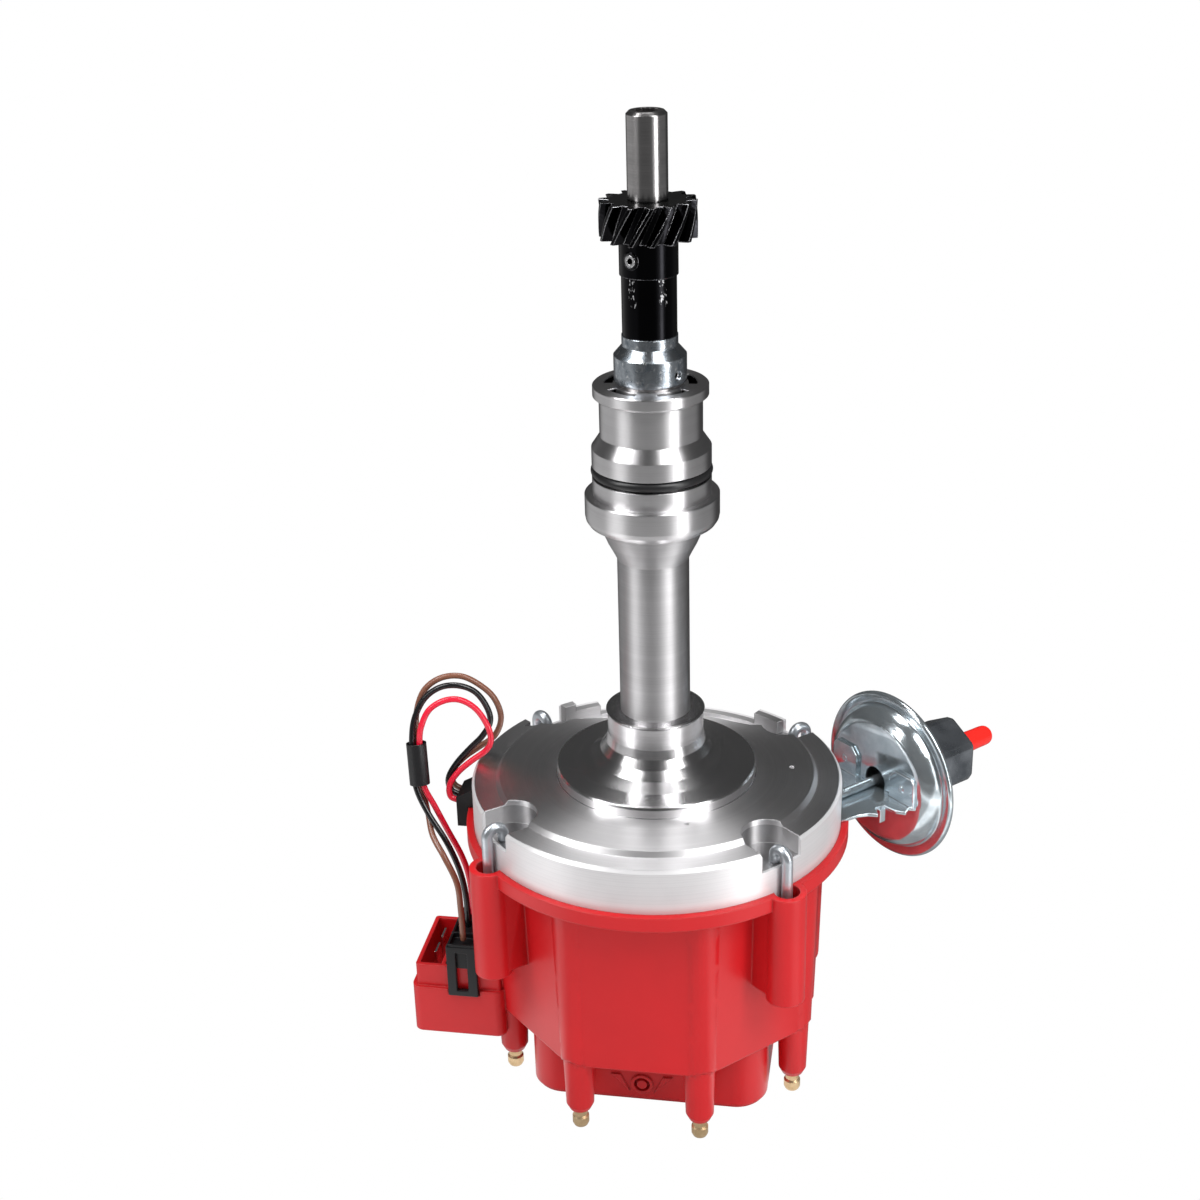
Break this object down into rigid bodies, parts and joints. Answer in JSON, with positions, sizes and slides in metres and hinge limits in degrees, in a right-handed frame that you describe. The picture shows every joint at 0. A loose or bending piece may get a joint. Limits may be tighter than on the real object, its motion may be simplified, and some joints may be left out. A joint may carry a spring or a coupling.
{
  "type": "ignition distributor",
  "caption": "Electronic ignition distributor with machined bowl housing, long geared shaft, red cap with built-in coil and plug towers, vacuum advance canister and wired plug.",
  "frame": {"origin": "on the shaft axis in the plane of the seating shoulder that rests on the engine block", "axes": "+Z along the shaft, into the engine towards the drive gear; the cap hangs at -Z; -X is the side of the cap connector; the vacuum canister points midway between +X and +Y"},
  "size_m": [0.2182, 0.1442, 0.3626],
  "materials": {
    "machined_aluminium": "turned and satin machined",
    "bronze": "sintered bronze",
    "steel": "ground steel",
    "black_oxide": "black oxide steel",
    "zinc": "bright zinc plate",
    "spring_steel": "spring wire",
    "dark_steel": "phosphated steel",
    "magnet": "bonded ferrite",
    "yellow_zinc": "yellow zinc plate",
    "black_rubber": "nitrile rubber",
    "black_plastic": "moulded nylon",
    "rotor_plastic": "moulded polyester",
    "red_plastic": "moulded, semi gloss",
    "red_vinyl": "soft vinyl",
    "brass": "turned brass",
    "epoxy": "potting epoxy",
    "laminations": "stacked steel laminations",
    "carbon": "carbon",
    "tin": "tinned",
    "red_pvc": "wire insulation",
    "black_pvc": "wire insulation",
    "brown_pvc": "wire insulation"
  },
  "bodies": {
    "body": {"housing": "machined_aluminium", "neck": "machined_aluminium", "bush_upper": "bronze", "bush_lower": "bronze", "o_ring": "black_rubber", "thrust_washer": "steel", "plate_clip": "spring_steel", "igniter": "black_plastic", "capacitor": "tin", "cap": "red_plastic", "cap_top": "red_plastic", "cap_posts": "red_plastic", "cap_hood": "red_plastic", "terminals": "brass", "coil": "epoxy", "coil_core": "laminations", "coil_cover": "red_plastic", "cover_screws": "black_oxide", "brush_spring": "spring_steel", "blades": "tin", "latch_springs": "spring_steel", "vac_front": "zinc", "vac_back": "zinc", "vac_bracket": "zinc", "bowl_screws": "steel", "diaphragm": "black_rubber", "vac_spring": "spring_steel", "vac_port": "black_oxide", "wire_red": "red_pvc", "wire_black": "black_pvc", "wire_brown": "brown_pvc", "wire_sleeve": "black_rubber", "plug": "black_plastic", "grommet": "black_plastic"},
    "shaft": {"mainshaft": "steel", "thrust_collar": "zinc", "roll_pins": "dark_steel", "spacer_sleeve": "black_oxide", "drive_gear": "black_oxide", "centre_cam": "dark_steel", "weight_spring_a": "spring_steel", "weight_spring_b": "spring_steel"},
    "advance": {"timer_core": "dark_steel", "weight_plate": "yellow_zinc", "rotor": "rotor_plastic", "rotor_blade": "brass", "rotor_screws": "steel"},
    "weight_one": {"weight_a": "yellow_zinc"},
    "weight_two": {"weight_b": "yellow_zinc"},
    "pickup": {"pickup_plate": "zinc", "pickup_magnet": "magnet", "pole_piece": "steel", "pickup_coil": "black_plastic"},
    "vacuum_rod": {"vac_rod": "zinc"},
    "vacuum_cap": {"vac_cap": "red_vinyl"},
    "brush": {"brush": "carbon"},
    "hold_down_fl": {"latch_fl": "zinc"},
    "hold_down_fr": {"latch_fr": "zinc"},
    "hold_down_br": {"latch_br": "zinc"},
    "hold_down_bl": {"latch_bl": "zinc"}
  },
  "joints": [
    {"name": "shaft_spin", "type": "hinge", "parent": "body", "child": "shaft", "pos_m": [0, 0, 0], "axis": [0, 0, -1], "continuous": true},
    {"name": "advance_turn", "type": "hinge", "parent": "shaft", "child": "advance", "pos_m": [0, 0, -0.1097], "axis": [0, 0, -1], "range_deg": [0, 12], "stiffness_Nm_per_rad": 0.6, "springref_deg": -2.86, "deforming": ["weight_spring_a", "weight_spring_b"]},
    {"name": "weight_one_swing", "type": "hinge", "parent": "advance", "child": "weight_one", "pos_m": [0.025, 0, -0.1324], "axis": [0, 0, -1], "range_deg": [0, 11]},
    {"name": "weight_two_swing", "type": "hinge", "parent": "advance", "child": "weight_two", "pos_m": [-0.025, 0, -0.1324], "axis": [0, 0, -1], "range_deg": [0, 11]},
    {"name": "pickup_turn", "type": "hinge", "parent": "body", "child": "pickup", "pos_m": [0, 0, -0.1097], "axis": [0, 0, 1], "range_deg": [0, 10], "stiffness_Nm_per_rad": 1.5, "springref_deg": -1.15},
    {"name": "vacuum_rod_slide", "type": "slide", "parent": "body", "child": "vacuum_rod", "axis": [0.7071, 0.7071, 0], "range_m": [0, 0.0064], "deforming": ["diaphragm", "vac_spring"]},
    {"name": "vacuum_cap_pull", "type": "slide", "parent": "body", "child": "vacuum_cap", "axis": [0.7071, 0.7071, 0], "range_m": [0, 0.016]},
    {"name": "brush_press", "type": "slide", "parent": "body", "child": "brush", "axis": [0, 0, -1], "range_m": [0, 0.0012], "stiffness_N_per_m": 300, "springref_m": -0.003, "deforming": ["brush_spring"]},
    {"name": "latch_fl_turn", "type": "hinge", "parent": "body", "child": "hold_down_fl", "pos_m": [-0.05436, -0.04521, -0.1297], "axis": [0, 0, 1], "range_deg": [0, 130]},
    {"name": "latch_fr_turn", "type": "hinge", "parent": "body", "child": "hold_down_fr", "pos_m": [0.05229, -0.04758, -0.1297], "axis": [0, 0, 1], "range_deg": [0, 130]},
    {"name": "latch_br_turn", "type": "hinge", "parent": "body", "child": "hold_down_br", "pos_m": [0.05213, 0.04776, -0.1297], "axis": [0, 0, 1], "range_deg": [0, 130]},
    {"name": "latch_bl_turn", "type": "hinge", "parent": "body", "child": "hold_down_bl", "pos_m": [-0.05436, 0.04521, -0.1297], "axis": [0, 0, 1], "range_deg": [0, 130]}
  ],
  "couplings": [
    {"joint": "weight_one_swing", "follows": "advance_turn", "ratio": 0.9},
    {"joint": "weight_two_swing", "follows": "advance_turn", "ratio": 0.9},
    {"joint": "vacuum_rod_slide", "follows": "pickup_turn", "m_per_rad": 0.0364}
  ]
}
